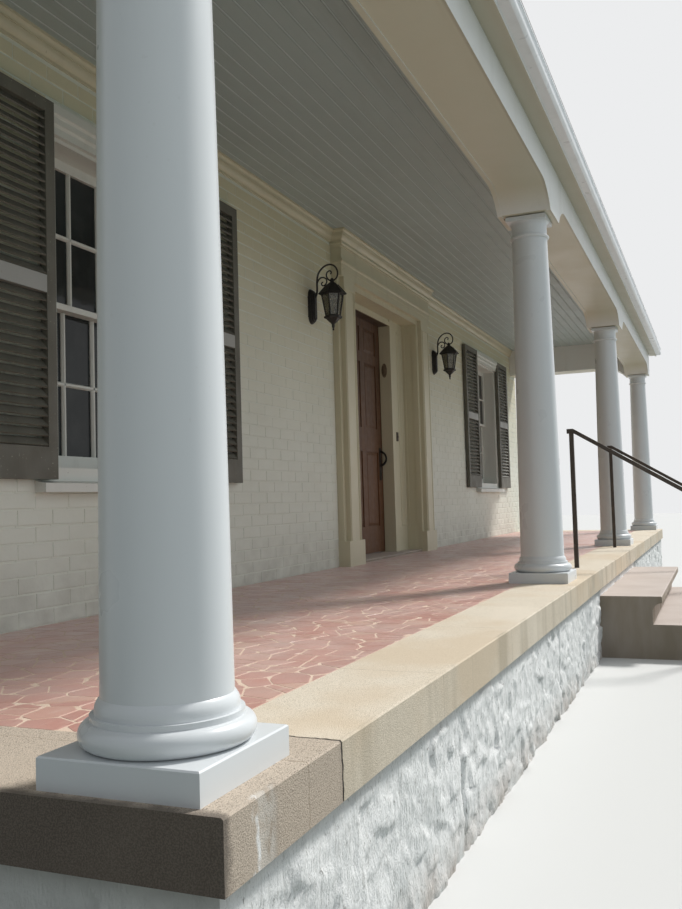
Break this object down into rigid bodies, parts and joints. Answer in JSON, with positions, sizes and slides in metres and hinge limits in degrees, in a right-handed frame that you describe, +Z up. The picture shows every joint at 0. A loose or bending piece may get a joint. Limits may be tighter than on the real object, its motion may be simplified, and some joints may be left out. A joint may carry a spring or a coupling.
{
  "type": "front porch",
  "caption": "Colonnaded front porch with arched beam, boarded ceiling, tile floor and steps, and the painted brick house wall behind it with a hinged door, windows, shutters and lanterns.",
  "frame": {"origin": "ground level, in the middle of the house wall's thickness, midway between the two end columns", "axes": "+X along the porch away from its near end, +Y into the house, +Z up"},
  "size_m": [12.12, 2.944, 3.9441],
  "materials": {
    "painted_stone": "matt white paint over rough stone",
    "buff_stone": "fine gritty cast stone, stained",
    "concrete": "cast concrete",
    "terracotta_tile": "worn satin tile with pale joints",
    "painted_brick": "cream-white paint over brick",
    "white_paint": "semi-gloss white paint over wood",
    "cream_paint": "satin cream paint over wood",
    "ceiling_paint": "satin blue-grey paint over beaded boards",
    "shutter_paint": "weathered dark olive paint over wood",
    "door_wood": "satin red-brown stained wood",
    "black_iron": "satin black paint over iron",
    "gutter_metal": "satin white paint over sheet metal",
    "roof_shingle": "granular shingle",
    "window_glass": "clear glass"
  },
  "bodies": {
    "porch": {"ceiling": "ceiling_paint", "column_1_base": "white_paint", "column_1_shaft": "white_paint", "column_2_base": "white_paint", "column_2_shaft": "white_paint", "column_3_base": "white_paint", "column_3_shaft": "white_paint", "column_4_base": "white_paint", "column_4_shaft": "white_paint", "coping_far_end": "buff_stone", "coping_front_far": "buff_stone", "coping_front_middle": "buff_stone", "coping_front_near": "buff_stone", "coping_near_end": "buff_stone", "door_frame": "cream_paint", "door_sill": "buff_stone", "door_surround": "cream_paint", "eave": "cream_paint", "far_end_beam": "cream_paint", "far_end_foundation": "painted_stone", "far_gable": "cream_paint", "front_beam": "cream_paint", "front_foundation": "painted_stone", "gutter": "gutter_metal", "handrail_far": "black_iron", "handrail_near": "black_iron", "house_foundation": "painted_stone", "lantern_far": "black_iron", "lantern_near": "black_iron", "near_end_beam": "cream_paint", "near_end_foundation": "painted_stone", "near_gable": "cream_paint", "porch_slab": "concrete", "roof": "roof_shingle", "shutter_far_left": "shutter_paint", "shutter_far_right": "shutter_paint", "shutter_near_left": "shutter_paint", "shutter_near_right": "shutter_paint", "step_lower": "buff_stone", "step_upper": "buff_stone", "tile_floor": "terracotta_tile", "wall_crown": "cream_paint", "wall_far": "painted_brick", "wall_near": "painted_brick", "wall_over_door": "painted_brick", "window_far_frame": "cream_paint", "window_far_glass": "window_glass", "window_far_sashes": "cream_paint", "window_near_frame": "cream_paint", "window_near_glass": "window_glass", "window_near_sashes": "cream_paint"},
    "door": {"front_door": "door_wood", "door_handle": "black_iron"}
  },
  "joints": [
    {"name": "door_hinge", "type": "hinge", "parent": "porch", "child": "door", "pos_m": [-0.1745, 0.106, 1.654], "axis": [0, 0, 1], "range_deg": [0, 90]}
  ]
}
